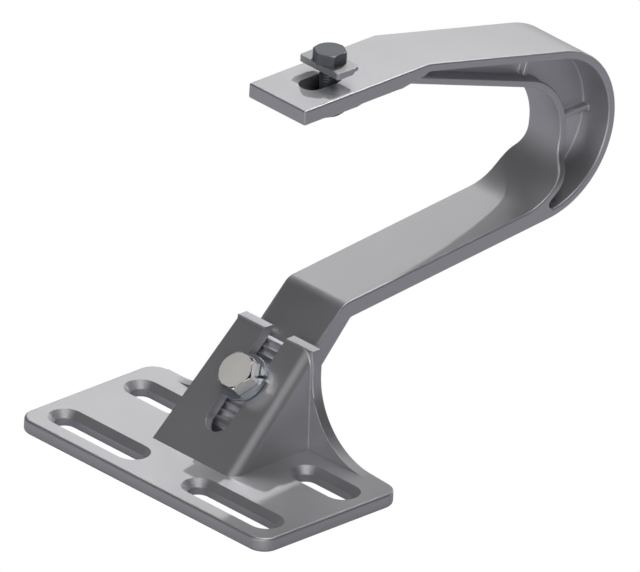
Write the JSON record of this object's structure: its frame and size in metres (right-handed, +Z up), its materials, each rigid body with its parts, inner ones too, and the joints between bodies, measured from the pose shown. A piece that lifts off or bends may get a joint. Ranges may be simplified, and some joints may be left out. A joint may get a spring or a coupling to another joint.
{
  "type": "adjustable solar roof hook",
  "caption": "Roof hook for solar rails: a slotted base plate with a toothed height clamp, a curved ribbed arm and a bolted rail clamp on top.",
  "frame": {"origin": "centre of the base plate's underside", "axes": "+X along the base plate's long side, +Y along the hook arm away from the sloped front face, +Z up out of the rafter"},
  "size_m": [0.15, 0.2517, 0.1773],
  "materials": {
    "cast_base": "as cast, satin",
    "cast_arm": "as cast, satin",
    "stainless": "plain stainless",
    "zinc": "zinc plated",
    "dark_steel": "dark oxide",
    "clamp_steel": "plain"
  },
  "bodies": {
    "base": {"base_plate": "cast_base"},
    "hook": {"hook_arm": "cast_arm", "height_bolt": "stainless", "spring_washer": "zinc"},
    "rail": {"rail_bolt": "dark_steel", "rail_clamp": "clamp_steel", "rail_nut": "dark_steel"}
  },
  "joints": [
    {"name": "height_slide", "type": "slide", "parent": "base", "child": "hook", "axis": [0, 0.7071, 0.7071], "range_m": [-0.012, 0.012]},
    {"name": "rail_slide", "type": "slide", "parent": "hook", "child": "rail", "axis": [0, 1, 0], "range_m": [-0.0105, 0.0012]}
  ]
}
